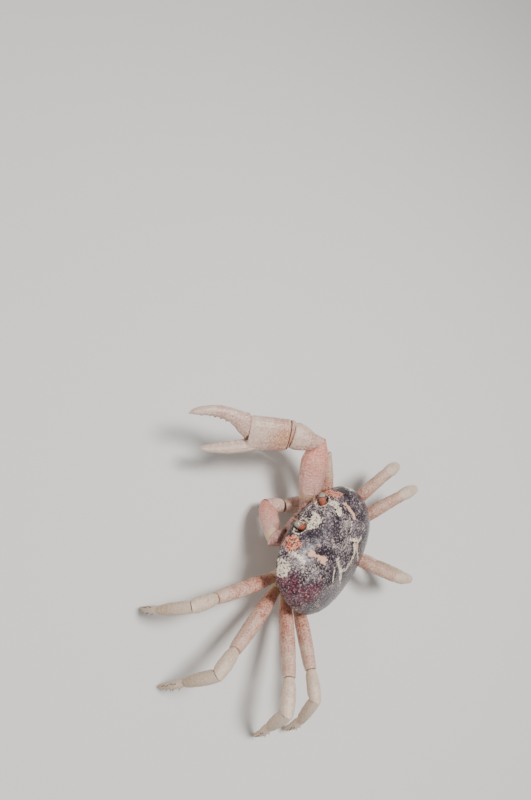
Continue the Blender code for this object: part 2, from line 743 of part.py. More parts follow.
def build():
    """Every piece of the crab, then the whole moved over the origin."""
    sockets = []
    for hand_name in ("left", "right"):
        hand = 1 if hand_name == "left" else -1
        for part in HIPS:
            along = claw_pieces(hand_name) if part == "claw" else leg_pieces(part, hand_name)
            sockets.append(hip(part, hand, along))
    half = 0.5 * GAP / WIDTH
    clear = GAP / WIDTH
    thorax = body_shell("thorax")
    join(thorax, [slab(SEAM - half, 1.0)], "DIFFERENCE")
    for socket in sockets:
        join(socket, [slab(SEAM - 0.012, 1.0)], "DIFFERENCE")
        join(thorax, [socket], "UNION")
    carapace = body_shell("carapace")
    join(carapace, [slab(-1.0, SEAM + half)], "DIFFERENCE")
    abdomen("abdomen")
    join(thorax, [abdomen("seat", clear)], "DIFFERENCE")
    join(carapace, [abdomen("seat", clear)], "DIFFERENCE")
    join(carapace, [ball("notch", FRONT_NOTCH, NOTCH_RADII)], "DIFFERENCE")
    for hand_name, hand in (("left", 1), ("right", -1)):
        join(carapace, [ball("orbit", mirrored(ORBIT, hand), ORBIT_RADII)], "DIFFERENCE")
        join(carapace, [eyestalk("seat", hand, clear)], "DIFFERENCE")
        join(carapace, [antenna("seat", hand, clear)], "DIFFERENCE")
        eyestalk(f"eyestalk_{hand_name}", hand)
        eye(f"eye_{hand_name}", hand)
        antenna(f"antenna_{hand_name}", hand)
        maxilliped(f"maxilliped_{hand_name}", hand)
        join(thorax, [maxilliped("seat", hand, clear)], "DIFFERENCE")
        join(carapace, [maxilliped("seat", hand, clear)], "DIFFERENCE")


def centre_on_floor():
    """Moves the root so that the crab's box stands centred on the origin."""
    things = [thing for thing in bpy.data.objects if thing.type == "MESH"]
    corners = np.array([v.co for thing in things for v in thing.data.vertices])
    middle = 0.5 * (corners.min(axis=0) + corners.max(axis=0))
    ROOT.location = (-middle[0], -middle[1], -corners[:, 2].min())


for thing in list(bpy.data.objects):
    bpy.data.objects.remove(thing)
ROOT = bpy.data.objects.new("crab", None)
bpy.context.collection.objects.link(ROOT)
build()
centre_on_floor()
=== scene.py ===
"""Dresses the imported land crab: finer shell, limbs, face, joint skins, bristles and a pale studio."""

import math
import random

import bmesh
import bpy
import numpy as np
from mathutils import Matrix, Vector
from mathutils.bvhtree import BVHTree


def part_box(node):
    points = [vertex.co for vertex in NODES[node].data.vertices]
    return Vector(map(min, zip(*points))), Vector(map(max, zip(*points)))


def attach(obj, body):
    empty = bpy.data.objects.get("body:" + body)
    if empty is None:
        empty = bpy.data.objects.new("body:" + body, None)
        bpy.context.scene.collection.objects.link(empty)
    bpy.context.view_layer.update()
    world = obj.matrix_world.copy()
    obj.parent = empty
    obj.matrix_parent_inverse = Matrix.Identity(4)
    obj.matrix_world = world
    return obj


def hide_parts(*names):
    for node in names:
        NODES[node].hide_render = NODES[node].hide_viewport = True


bl_info = {
    "name": "Land crab dressing",
    "version": (1, 0, 0),
    "blender": (4, 5, 0),
    "location": "View3D > Sidebar > Crab",
    "description": "Finer shell, limbs, eyes and joints for the packed land crab",
    "category": "Object",
}

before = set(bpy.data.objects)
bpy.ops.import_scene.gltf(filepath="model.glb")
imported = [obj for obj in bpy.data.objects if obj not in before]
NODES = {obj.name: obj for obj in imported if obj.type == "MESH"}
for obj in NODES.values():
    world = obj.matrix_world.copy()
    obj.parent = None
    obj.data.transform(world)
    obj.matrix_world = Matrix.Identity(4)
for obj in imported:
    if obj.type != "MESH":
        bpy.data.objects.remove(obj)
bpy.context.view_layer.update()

WIDTH = 0.085            # carapace width, metres
MM = 0.001
HANDS = ("left", "right")
LEGS = ("leg_1", "leg_2", "leg_3", "leg_4")
LEG_PARTS = ("merus", "carpus", "propodus", "dactyl")
CLAW_PARTS = ("merus", "carpus", "palm", "finger")

# The body's pose in the stance, and where the middle of the two corneas lies in it
PITCH = math.radians(20)
ROLL = math.radians(7)
EYES_FROM_BODY = Vector((-0.001808, -0.024921, 0.014612))


def middle(name):
    """The middle of a CAD node's box."""
    low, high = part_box(name)
    return (Vector(low) + Vector(high)) / 2


BODY = (middle("eye_left") + middle("eye_right")) / 2 - EYES_FROM_BODY
TO_SCENE = (Matrix.Translation(BODY) @ Matrix.Rotation(-ROLL, 4, "Y") @ Matrix.Rotation(-PITCH, 4, "X")
            @ Matrix.Scale(WIDTH, 4))
TO_BODY = TO_SCENE.inverted()

# Copying and shaping, in metres
MERGE_DISTANCE = 0.00001
WEIGHT_STEPS = 20        # steps of a vertex group's weights

# Marks on the shell: a line in the body's plan, in carapace widths, and a half width
CREAM_MARKS = (
    (((0.095, 0.018), (0.110, 0.062)), 0.017),
    (((0.107, 0.087), (0.113, 0.125), (0.119, 0.177)), 0.013),
    (((0.119, 0.177), (0.130, 0.233)), 0.007),
    (((0.156, 0.030), (0.182, 0.065), (0.209, 0.109)), 0.006),
    (((0.113, 0.100), (0.071, 0.140), (-0.008, 0.135), (-0.073, 0.118), (-0.095, 0.094), (-0.105, 0.050)),
     0.012),
    (((-0.094, -0.003), (-0.122, 0.031), (-0.141, 0.065), (-0.181, 0.065)), 0.013),
    (((-0.110, 0.110), (-0.116, 0.220)), 0.010),
    (((-0.119, -0.040), (-0.149, -0.065), (-0.179, -0.089)), 0.005),
    (((0.103, -0.283), (0.069, -0.276), (0.025, -0.280)), 0.024),
    (((0.025, -0.280), (0.002, -0.299)), 0.016),
    (((-0.160, -0.262), (-0.175, -0.235), (-0.128, -0.200)), 0.020),
    (((0.396, -0.221), (0.416, -0.182), (0.453, -0.160)), 0.019),
    (((0.321, -0.229), (0.314, -0.166)), 0.014),
    (((-0.410, -0.200), (-0.440, -0.170)), 0.018),
)
SALMON_MARKS = (
    (((0.234, -0.152), (0.220, -0.125), (0.204, -0.085)), 0.022),
    (((-0.234, -0.200), (-0.237, -0.164), (-0.227, -0.123), (-0.214, -0.090)), 0.013),
    (((-0.119, 0.076), (-0.116, 0.108)), 0.011),
)
ORANGE_MARKS = (
    (((0.258, -0.302), (0.232, -0.278), (0.254, -0.252), (0.300, -0.256), (0.298, -0.286), (0.258, -0.302)),
     0.017),
    (((0.262, -0.276), (0.278, -0.270)), 0.010),
    (((-0.230, -0.292), (-0.264, -0.272), (-0.278, -0.245)), 0.022),
)
WINE_MARKS = (
    (((0.470, -0.110), (0.485, -0.020), (0.440, 0.060), (0.370, 0.060)), 0.075),
    (((-0.450, -0.060), (-0.470, 0.060)), 0.060),
)
PALE_AREAS = (
    (((-0.080, -0.270), (-0.150, -0.190), (-0.130, -0.100)), 0.060),
    (((0.330, -0.210), (0.330, -0.120), (0.260, -0.040)), 0.060),
    (((0.060, -0.060), (0.000, 0.000), (-0.060, -0.040)), 0.060),
)

# Places on the level body, in carapace widths
ORBITS = (Vector((0.135, -0.300, 0.060)), Vector((-0.135, -0.300, 0.060)))
ORBIT_RADII = (0.056, 0.052, 0.036)
ORBIT_RIM = 1.16         # the cream rim's middle, in orbit radii
ORBIT_RIM_HALF = 0.22
RIM_LEVEL = 0.030        # height of the shell's upper front edge
RIM_HALF = 0.012
RIM_REACH = 0.2          # half width of the front edge, and how far in front of the middle it starts
MARK_FADE = (0.045, 0.035)   # where the marks end below the rim, and over what height
FLANK_TOP = 0.005
FLANK_FADE = 0.09
TAIL_JOINTS = (0.075, 0.130, 0.185, 0.235, 0.280)
BREAST_SEAMS = (-0.060, 0.055, 0.155, 0.255)
BREAST_SLANT = 0.10      # how far the seams run forward for each step outward
BREAST_LEVEL = -0.16     # the seams are cut below this
UNDER_LEVEL = -0.15      # middle height of the breast and mouthparts
SEAM_HALF = 0.007
MOUTH_SEAM = -0.128      # height of the joint across the mouthparts
ANTENNULE = ((0.030, -0.300, -0.040), (0.048, -0.330, -0.036), (0.078, -0.336, -0.047))
ORBIT_GRAINS = 11
GRAIN_START = (0.062, -0.052)    # sideways and height
GRAIN_STEP = (0.0155, 0.0022)
HAIRS = 26
HAIR_SIDE = 0.026
HAIR_TOP = -0.075
HAIR_STEP = 0.0058

# Limbs: toe widths in carapace widths, the rest in metres
TOE_SHARES = (0.15, 0.85)        # the part of a toe that carries spines
TOE_HALF_WIDTH = 0.036
TOE_TAPER = 0.022
SPINE_RISE = 0.55 * MM           # how far a spine's tip has to stand out of the toe
SPINE_APART = 1.6 * MM
BRISTLES = 3                     # at each spine
FACING_REACH = 0.8 * MM          # how far apart the faces of two neighbours may lie
SKIN_SHARE = 0.90                # a joint skin's width against the faces beside it
HIP_SKIN = 1.6 * MM
LIMB_SKIN = 1.7 * MM
LEG_RUGAE = 1.5 * MM
CLAW_RUGAE = 1.7 * MM
RUGA_HEIGHT = 0.16 * MM
RUGA_WAVES = (np.array((900.0, -700.0, 1100.0)), np.array((300.0, 420.0, 0.0)))
HIP_SHARE = 0.22                 # the part of a leg's thigh that the pale hip covers
CLAW_HIP_SHARE = 0.2
FOLD_HALF = 0.75 * MM
PALM_FOLD = 1.9 * MM             # from the wrist to the right palm's fold
PALM_FOLD_DEPTH = 0.7 * MM
BLOTCH_SHARE = 0.22              # place of the ochre blotch along the palm
BLOTCH_RADIUS = 0.105 * WIDTH

# Camera from the photograph's fit: image right, image up and back, and its place in carapace widths
CAMERA_RIGHT = Vector((-0.652472, 0.644630, 0.398413))
CAMERA_UP = Vector((-0.578674, -0.763279, 0.287299))
CAMERA_BACK = Vector((0.489302, -0.043097, 0.871049))
CAMERA_FROM_BODY = Vector((1.772681, -1.247045, 3.882945))
SENSOR = 24              # millimetres, across the picture's longer side
LENS = 18
NEAR_CLIP = 0.01
LIGHT_DISTANCE = 0.9
AIR_STRENGTH = 0.42


# Small helpers for picking, copying and shaping meshes

def drop_selection():
    """Back to object mode with nothing selected."""
    if bpy.context.object and bpy.context.object.mode != "OBJECT":
        bpy.ops.object.mode_set(mode="OBJECT")
    bpy.ops.object.select_all(action="DESELECT")


def pick(thing):
    """Makes a thing the only selected and the active one."""
    drop_selection()
    thing.select_set(True)
    bpy.context.view_layer.objects.active = thing
    return thing


def apply(thing, kind, **settings):
    """Adds a modifier, sets it and applies it."""
    pick(thing)
    modifier = thing.modifiers.new(kind.title(), kind)
    for key, value in settings.items():
        setattr(modifier, key, value)
    bpy.ops.object.modifier_apply(modifier=modifier.name)
    return thing


def merged_copy(node_name, name):
    """A copy of a CAD node under a new name, with its loose triangles merged."""
    source = NODES[node_name]
    copy = bpy.data.objects.new(name, source.data.copy())
    copy.data.name = name
    copy.matrix_world = source.matrix_world
    bpy.context.collection.objects.link(copy)
    copy.data.materials.clear()
    pick(copy)
    bpy.ops.object.mode_set(mode="EDIT")
    bpy.ops.mesh.select_all(action="SELECT")
    bpy.ops.mesh.remove_doubles(threshold=MERGE_DISTANCE)
    bpy.ops.object.mode_set(mode="OBJECT")
    bpy.ops.object.transform_apply(location=True, rotation=True, scale=True)
    return copy


def refined(node_name, name, grain, rounds=4):
    """A finer, softer copy of a CAD node, made of small even faces."""
    piece = merged_copy(node_name, name)
    apply(piece, "REMESH", mode="VOXEL", voxel_size=grain, use_smooth_shade=True)
    apply(piece, "SMOOTH", factor=0.5, iterations=rounds)
    return piece


def points_of(piece):
    """A piece's vertices as rows of an array."""
    flat = np.empty(len(piece.data.vertices) * 3)
    piece.data.vertices.foreach_get("co", flat)
    return flat.reshape(-1, 3)


def in_body(points):
    """Scene points as places on the level body, in carapace widths."""
    turn = np.array(TO_BODY)
    return points @ turn[:3, :3].T + turn[:3, 3]


def set_field(piece, name, values):
    """Stores one number a vertex, which a material reads by name."""
    layer = piece.data.attributes.new(name, "FLOAT", "POINT")
    layer.data.foreach_set("value", np.asarray(values, dtype=np.float32))


def line_distance(plan, line):
    """How far each point of the plan is from a broken line."""
    best = np.full(len(plan), 1e9)
    for a, b in zip(line, line[1:]):
        a, b = np.array(a), np.array(b)
        along = b - a
        share = np.clip((plan - a) @ along / (along @ along), 0, 1)
        best = np.minimum(best, np.linalg.norm(plan - a - share[:, None] * along, axis=1))
    return best


def mark_field(plan, marks):
    """1 in the middle of a mark, 0.5 at its edge and 0 well outside."""
    weight = np.zeros(len(plan))
    for line, half_width in marks:
        weight = np.maximum(weight, np.clip(1 - 0.5 * line_distance(plan, line) / half_width, 0, 1))
    return weight


def finish_piece(piece, node_names, material):
    """Gives a piece its finish and its body, and hides the CAD nodes that it stands for."""
    piece.data.materials.clear()
    piece.data.materials.append(material)
    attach(piece, "root")
    if node_names:
        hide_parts(*node_names)
    return piece


def texture(name, kind, size, **settings):
    """A displacement pattern whose grains are about the given size."""
    made = bpy.data.textures.new(name, kind)
    made.noise_scale = size
    for key, value in settings.items():
        setattr(made, key, value)
    return made


def rough_up(piece, pattern, strength, group=""):
    """Displaces a piece by a pattern, all over or by a vertex group."""
    apply(piece, "DISPLACE", texture=pattern, texture_coords="LOCAL", strength=strength, mid_level=0.5,
          vertex_group=group)


def share_group(piece, name, weights):
    """A vertex group from one weight a vertex, in even steps."""
    group = piece.vertex_groups.new(name=name)
    levels = np.round(np.clip(weights, 0, 1) * WEIGHT_STEPS).astype(int)
    for level in range(1, WEIGHT_STEPS + 1):
        chosen = np.nonzero(levels == level)[0]
        if len(chosen):
            group.add(chosen.tolist(), level / WEIGHT_STEPS, "REPLACE")


# Materials

def hex_colour(text):
    """An sRGB hex colour as linear red, green, blue and alpha."""
    parts = [int(text[i:i + 2], 16) / 255 for i in (1, 3, 5)]
    return (*[c / 12.92 if c <= 0.04045 else ((c + 0.055) / 1.055) ** 2.4 for c in parts], 1.0)


def node(tree, kind, inputs=None, **settings):
    """Adds a shader node, sets its properties and fills its sockets with values or links."""
    made = tree.nodes.new(kind)
    for key, value in settings.items():
        setattr(made, key, value)
    for key, value in (inputs or {}).items():
        if isinstance(value, bpy.types.NodeSocket):
            tree.links.new(value, made.inputs[key])
        else:
            made.inputs[key].default_value = value
    return made


def new_material(name, **settings):
    """An empty material with its shader linked to the output."""
    material = bpy.data.materials.new(name)
    material.use_nodes = True
    tree = material.node_tree
    tree.nodes.clear()
    shader = node(tree, "ShaderNodeBsdfPrincipled", settings)
    node(tree, "ShaderNodeOutputMaterial", {"Surface": shader.outputs[0]})
    return material, tree, shader


def place_of(tree):
    """The shaded point's place in the object."""
    return node(tree, "ShaderNodeTexCoord").outputs["Object"]


def grains(tree, place, size, detail=3.0, roughness=0.55):
    """Soft noise whose features are about the given size in metres."""
    return node(tree, "ShaderNodeTexNoise", {"Vector": place, "Scale": 1 / size, "Detail": detail,
                                             "Roughness": roughness}).outputs[0]


def combine(tree, operation, first, second, third=0.0):
    """A sum, product or the like of values or links."""
    return node(tree, "ShaderNodeMath", {0: first, 1: second, 2: third}, operation=operation).outputs[0]


def step(tree, value, low, high):
    """0 below low, 1 above high and smooth between them."""
    return node(tree, "ShaderNodeMapRange", {"Value": value, "From Min": low, "From Max": high},
                interpolation_type="SMOOTHSTEP").outputs[0]


def colour_mix(tree, share, first, second):
    """The first colour where the share is 0, the second where it is 1."""
    made = tree.nodes.new("ShaderNodeMix")
    made.data_type = "RGBA"
    for index, value in ((0, share), (6, first), (7, second)):
        if isinstance(value, bpy.types.NodeSocket):
            tree.links.new(value, made.inputs[index])
        else:
            made.inputs[index].default_value = value
    return made.outputs[2]


def field(tree, name):
    """The number that a piece's vertices store under a name."""
    return node(tree, "ShaderNodeAttribute", attribute_name=name).outputs["Fac"]


def bumps(tree, shader, height, distance, strength=1.0):
    """Small relief in the shading only."""
    made = node(tree, "ShaderNodeBump", {"Height": height, "Distance": distance, "Strength": strength})
    tree.links.new(made.outputs[0], shader.inputs["Normal"])


def ragged(tree, name, noise, amount, softness=0.05):
    """A mark's field with its edge broken up by noise."""
    shifted = combine(tree, "MULTIPLY_ADD", noise, amount, -0.5 * amount)
    total = combine(tree, "ADD", field(tree, name), shifted)
    return step(tree, total, 0.5 - softness, 0.5 + softness)


def shell_material(looks):
    """Calcified crab shell, grown and weathered: violet grey, finely mottled with cream, with a wet gloss."""
    material, tree, shader = new_material("calcified_shell_dark", **{"IOR": 1.54, "Specular IOR Level": 0.28})
    place = place_of(tree)
    fine = grains(tree, place, 1.00 * MM, 3.0, 0.70)
    broken = grains(tree, place, 3.2 * MM, 2.0)
    patches = grains(tree, place, 8 * MM, 3.0)
    edge = grains(tree, place, 2.0 * MM, 4.0, 0.7)
    dark = colour_mix(tree, step(tree, patches, 0.40, 0.62), hex_colour(looks.shell_dark),
                      hex_colour(looks.shell_grey))
    wine = combine(tree, "MULTIPLY", step(tree, field(tree, "wine"), 0.25, 0.80),
                   step(tree, edge, 0.40, 0.56))
    dark = colour_mix(tree, wine, dark, hex_colour(looks.shell_wine))
    flank = step(tree, combine(tree, "MULTIPLY_ADD", edge, 0.5, field(tree, "flank")), 0.30, 1.0)
    dark = colour_mix(tree, flank, dark, hex_colour(looks.flank))
    level = combine(tree, "MULTIPLY_ADD", combine(tree, "SUBTRACT", patches, 0.5), 0.30, fine)
    level = combine(tree, "MULTIPLY_ADD", field(tree, "cream"), 0.05, level)
    level = combine(tree, "MULTIPLY_ADD", field(tree, "pale"), 0.10, level)
    level = combine(tree, "MULTIPLY_ADD", field(tree, "flank"), -0.015, level)
    haze = combine(tree, "MULTIPLY", step(tree, level, 0.48, 0.60), 0.62)
    shade = colour_mix(tree, haze, dark, hex_colour(looks.haze))
    specks = step(tree, level, 0.565, 0.675)
    speck = colour_mix(tree, step(tree, broken, 0.44, 0.60), hex_colour(looks.speck_low),
                       hex_colour(looks.speck))
    shade = colour_mix(tree, specks, shade, speck)
    marks = ragged(tree, "cream", edge, 1.7, 0.10)
    flaws = combine(tree, "MULTIPLY", marks, step(tree, fine, 0.41, 0.50))
    shade = colour_mix(tree, flaws, shade, hex_colour(looks.cream))
    smooth = combine(tree, "MULTIPLY", ragged(tree, "salmon", broken, 2.2, 0.16), 0.88)
    shade = colour_mix(tree, smooth, shade, hex_colour(looks.salmon))
    rust = colour_mix(tree, step(tree, fine, 0.44, 0.54), hex_colour(looks.rust), hex_colour(looks.rust_pale))
    shade = colour_mix(tree, ragged(tree, "orange", broken, 2.0, 0.14), shade, rust)
    tree.links.new(shade, shader.inputs["Base Color"])
    rough = combine(tree, "MULTIPLY_ADD", field(tree, "flank"), 0.30, 0.27)
    tree.links.new(combine(tree, "MULTIPLY_ADD", specks, 0.16, rough), shader.inputs["Roughness"])
    bumps(tree, shader, combine(tree, "ADD", fine, specks), 0.07 * MM, 0.8)
    return material


def limb_material(name, looks, base, tip, fleck, share=0.5, dots=0.6):
    """Calcified, finely granular limb cuticle: one colour fades to another, with flecks and dots."""
    material, tree, shader = new_material(name, Roughness=0.46, IOR=1.5)
    place = place_of(tree)
    fine = grains(tree, place, 1.0 * MM, 3.0, 0.65)
    broad = grains(tree, place, 6 * MM, 3.0)
    along = combine(tree, "MULTIPLY_ADD", combine(tree, "SUBTRACT", broad, 0.5), 0.9, field(tree, "along"))
    shade = colour_mix(tree, step(tree, along, 0.15, 0.95), hex_colour(base), hex_colour(tip))
    level = combine(tree, "MULTIPLY_ADD", combine(tree, "SUBTRACT", broad, 0.5), 0.3, fine)
    flecks = combine(tree, "MULTIPLY", step(tree, level, 0.50, 0.62), share)
    shade = colour_mix(tree, flecks, shade, hex_colour(fleck))
    band = combine(tree, "MULTIPLY", step(tree, field(tree, "along"), 0.04, 0.26),
                   step(tree, field(tree, "along"), 1.0, 0.42))
    fade = combine(tree, "MULTIPLY_ADD", band, 0.75 * dots, 0.25 * dots)
    dusk = combine(tree, "MULTIPLY", step(tree, level, 0.445, 0.38), fade)
    shade = colour_mix(tree, dusk, shade, hex_colour(looks.limb_dot))
    joint = combine(tree, "MULTIPLY", step(tree, field(tree, "joint"), 0.1, 0.9), 0.75)
    shade = colour_mix(tree, joint, shade, hex_colour(looks.joint_cream))
    spots = combine(tree, "MULTIPLY", ragged(tree, "blotch", broad, 0.9, 0.35), step(tree, fine, 0.66, 0.46))
    shade = colour_mix(tree, spots, shade, hex_colour(looks.blotch))
    slit = combine(tree, "MULTIPLY", step(tree, field(tree, "slit"), 0.3, 0.7), 0.9)
    shade = colour_mix(tree, slit, shade, hex_colour(looks.joint_dark))
    tree.links.new(shade, shader.inputs["Base Color"])
    bumps(tree, shader, combine(tree, "ADD", fine, broad), 0.10 * MM, 0.9)
    return material


def plain_material(name, first, rough, size, depth, second):
    """Thin cuticle, horn or hair that varies finely between two colours."""
    material, tree, shader = new_material(name, Roughness=rough, IOR=1.5)
    fine = grains(tree, place_of(tree), size, 4.0, 0.6)
    shade = colour_mix(tree, step(tree, fine, 0.35, 0.65), hex_colour(first), hex_colour(second))
    tree.links.new(shade, shader.inputs["Base Color"])
    bumps(tree, shader, fine, depth, 0.8)
    return material


# The sizes and colours that a user would change

def hex_property(name, default, description):
    """A colour as hex text that a user can change."""
    return bpy.props.StringProperty(name=name, default=default, description=description)


class CRAB_PG_sizes(bpy.types.PropertyGroup):
    shell_grain: bpy.props.FloatProperty(
        name="Shell grain", default=0.00048, min=0.0003, subtype="DISTANCE", unit="LENGTH",
        description="Face size on the carapace")
    limb_grain: bpy.props.FloatProperty(
        name="Limb grain", default=0.00040, min=0.0003, subtype="DISTANCE", unit="LENGTH",
        description="Face size on the legs and claws")
    face_grain: bpy.props.FloatProperty(
        name="Face grain", default=0.00022, min=0.0001, subtype="DISTANCE", unit="LENGTH",
        description="Face size on the eyes, feelers and mouthparts")
    floor_width: bpy.props.FloatProperty(
        name="Floor width", default=6.0, min=1.0, subtype="DISTANCE", unit="LENGTH",
        description="Width of the studio floor")
    light_power: bpy.props.FloatProperty(
        name="Main light", default=11.0, min=0.0, description="Power of the main light in watts")
    fill_power: bpy.props.FloatProperty(
        name="Fill light", default=3.0, min=0.0, description="Power of the fill light in watts")


class CRAB_PG_colours(bpy.types.PropertyGroup):
    shell_dark: hex_property("Shell dark", "#2c232a", "Darkest colour of the back")
    shell_grey: hex_property("Shell grey", "#4d4249", "Greyer patches of the back")
    shell_wine: hex_property("Shell wine", "#672a38", "Wine red of the side lobes")
    haze: hex_property("Shell haze", "#7b6e70", "Lilac grey between the dark and the specks")
    speck: hex_property("Shell speck", "#c6b7a6", "Brightest specks of the back")
    speck_low: hex_property("Shell speck low", "#948587", "Duller specks of the back")
    flank: hex_property("Shell flank", "#7a5852", "Side and front walls below the edge")
    cream: hex_property("Shell cream", "#e8d6bd", "Cream of the grooves and orbits")
    salmon: hex_property("Shell salmon", "#e6b394", "Smooth spots of the back")
    rust: hex_property("Shell rust", "#8e3f2e", "Dark part of the patches beside the eyes")
    rust_pale: hex_property("Shell rust pale", "#e3a184", "Pale part of the patches beside the eyes")
    leg_root: hex_property("Leg root", "#c4826b", "Thigh next to the body")
    leg_middle: hex_property("Leg middle", "#c9a28e", "Thigh next to the knee")
    leg_low: hex_property("Leg low", "#d0b69f", "Shin next to the knee")
    leg_tip: hex_property("Leg tip", "#b3977a", "Toes")
    leg_fleck: hex_property("Leg fleck", "#dccab4", "Pale flecks of the legs")
    limb_dot: hex_property("Limb dot", "#7c3f38", "Dark red dots of the limbs")
    claw_arm: hex_property("Claw arm", "#c9988c", "Arm of the claws")
    claw_arm_red: hex_property("Claw arm red", "#cf7f6c", "Arm of the claws near the elbow")
    claw_hand: hex_property("Claw hand", "#ceb09e", "Palm and fingers")
    claw_hand_pink: hex_property("Claw hand pink", "#c69c8c", "Warm part of the palm")
    claw_fleck: hex_property("Claw fleck", "#dfccbb", "Pale flecks of the palm")
    blotch: hex_property("Blotch", "#b87f52", "Ochre blotch of the palm beside the wrist")
    joint_cream: hex_property("Joint cream", "#d3b68c", "Soft skin of the hips")
    joint_dark: hex_property("Joint dark", "#4a3226", "Folded skin of the other joints")
    joint_cream_low: hex_property("Joint cream low", "#b98f63", "Duller part of the hips' skin")
    joint_dark_low: hex_property("Joint dark low", "#6b4a36", "Paler part of the folded skin")
    under: hex_property("Underside", "#d2b793", "Breast and tail plates")
    under_pink: hex_property("Underside pink", "#a87870", "Flanks below the shell")
    stalk: hex_property("Eyestalk", "#a5604c", "Stalks of the eyes")
    stalk_low: hex_property("Eyestalk low", "#8f4636", "Duller part of the stalks")
    eye: hex_property("Eye", "#aba797", "Corneas")
    eye_low: hex_property("Eye low", "#6f695c", "Darker part of the corneas")
    feeler: hex_property("Feeler", "#a27560", "Outer feelers")
    feeler_low: hex_property("Feeler low", "#8a5d48", "Duller part of all feelers")
    antennule: hex_property("Antennule", "#a2705e", "Inner feelers")
    horn: hex_property("Horn", "#83624a", "Spines of the toes")
    bristle: hex_property("Bristle", "#3a2a22", "Bristles of toes and mouth")
    floor: hex_property("Floor", "#dcd9d3", "Studio floor")
    air: hex_property("Air", "#dfe1e4", "Light from all around")


def sizes():
    """The scene's sizes."""
    return bpy.context.scene.crab_sizes


def colours():
    """The scene's colours."""
    return bpy.context.scene.crab_colours


# Shapes shared by the operators

def tree_of(name):
    """A CAD node's faces, ready to be searched."""
    mesh = bmesh.new()
    mesh.from_mesh(NODES[name].data)
    tree = BVHTree.FromBMesh(mesh)
    mesh.free()
    return tree


def leg_ends(leg, hand):
    """The hip, the three joints and the toe of a leg."""
    names = [f"{leg}_{part}_{hand}" for part in LEG_PARTS]
    joints = [joint_between(a, b)[0] for a, b in zip(["thorax", *names], names)]
    low = min((vertex.co for vertex in NODES[names[3]].data.vertices), key=lambda co: co.z)
    return [*joints, low.copy()]


def axis_foot(point, start, axis):
    """The point's foot on an axis, and the way from the axis out to it."""
    foot = start + axis * (point - start).dot(axis)
    return foot, (point - foot).normalized()


def spine_tips(name, start, end):
    """The tips of the spines on a toe, found as the points that stand out farthest from its axis."""
    axis = (end - start).normalized()
    length = (end - start).length
    found = []
    for vertex in NODES[name].data.vertices:
        foot = axis_foot(vertex.co, start, axis)[0]
        share = (foot - start).length / length
        reach = (vertex.co - foot).length
        surface = (TOE_HALF_WIDTH - TOE_TAPER * share) * WIDTH
        if TOE_SHARES[0] < share < TOE_SHARES[1] and reach > surface + SPINE_RISE:
            found.append((reach, vertex.co.copy()))
    tips = []
    for _, place in sorted(found, key=lambda item: -item[0]):
        if all((place - other).length > SPINE_APART for other in tips):
            tips.append(place)
    return tips


def cones(shoots, name, sides=6):
    """One object of slim cones, each from a foot to a tip with a radius."""
    drop_selection()
    piece = None
    for foot, tip, radius in shoots:
        way = tip - foot
        if piece is not None:
            bpy.ops.object.mode_set(mode="EDIT")
        bpy.ops.mesh.primitive_cone_add(vertices=sides, radius1=radius, radius2=0.12 * radius,
                                        depth=way.length, location=foot + way / 2,
                                        rotation=way.to_track_quat("Z", "Y").to_euler())
        if piece is None:
            piece = bpy.context.object
            bpy.ops.object.transform_apply(location=True, rotation=True, scale=True)
    pick(piece)
    piece.name = name
    piece.data.name = name
    bpy.ops.object.shade_smooth()
    return piece


def score(piece, groove, depth):
    """Cuts grooves where the weights say, and stores them so that a material darkens them."""
    share_group(piece, "groove", groove)
    apply(piece, "DISPLACE", strength=-depth, mid_level=0.0, vertex_group="groove")
    piece.data.attributes["slit"].data.foreach_set("value", np.asarray(groove, dtype=np.float32))


def lines_at(values, places, half_width):
    """1 where a value is at one of the places, fading to 0 at the half width."""
    away = np.abs(values[:, None] - np.array(places)).min(axis=1)
    return np.clip(1 - away / half_width, 0, 1)


def plain_fields(piece, along):
    """Fills the fields of the limb materials for a piece that is no limb."""
    set_field(piece, "along", along)
    for name in ("joint", "slit", "blotch"):
        set_field(piece, name, np.zeros(len(along)))


def limb_fields(piece, start, end, hip=0.0, slit=0.0):
    """Stores how far along the limb each point is, its share next to the hip, and a fold at the start."""
    points = points_of(piece)
    start, axis = np.array(start), np.array(end - start)
    share = (points - start) @ axis / (axis @ axis)
    set_field(piece, "along", np.clip(share, 0, 1))
    set_field(piece, "joint", np.clip(1 - share / hip, 0, 1) if hip else np.zeros(len(points)))
    depth = share * np.linalg.norm(axis)
    fold = np.clip(1.2 - np.abs(depth - slit) / FOLD_HALF, 0, 1) if slit else np.zeros(len(points))
    set_field(piece, "slit", fold)
    set_field(piece, "blotch", np.zeros(len(points)))
    return fold


def rugae(piece, start, end, size):
    """Low ridges across a limb, stronger on its upper side, in a vertex group of their own."""
    points = points_of(piece)
    start, axis = np.array(start), np.array(end - start)
    length = np.linalg.norm(axis)
    axis = axis / length
    depth = (points - start) @ axis
    out = points - start - depth[:, None] * axis
    out /= np.maximum(np.linalg.norm(out, axis=1), 1e-6)[:, None]
    wander = 0.5 * np.sin(points @ RUGA_WAVES[0]) + np.sin(points @ RUGA_WAVES[1])
    ridge = np.clip(np.sin(math.tau * depth / size + 1.6 * wander), 0, 1)
    share_group(piece, "rugae", ridge * np.clip(0.35 + out[:, 2], 0, 1))
    apply(piece, "DISPLACE", strength=RUGA_HEIGHT, mid_level=0.0, vertex_group="rugae")


def joint_between(first, second):
    """Centre, axis and half sizes of the flat where two neighbouring nodes face each other."""
    tree = tree_of(first)
    near = [vertex.co for vertex in NODES[second].data.vertices
            if tree.find_nearest(vertex.co, FACING_REACH)[0] is not None]
    points = np.unique(np.round(np.array(near), 6), axis=0)
    centre = points.mean(axis=0)
    ways = np.linalg.eigh(np.cov((points - centre).T))[1]
    reach = np.abs((points - centre) @ ways).max(axis=0)
    return Vector(centre), ways, reach


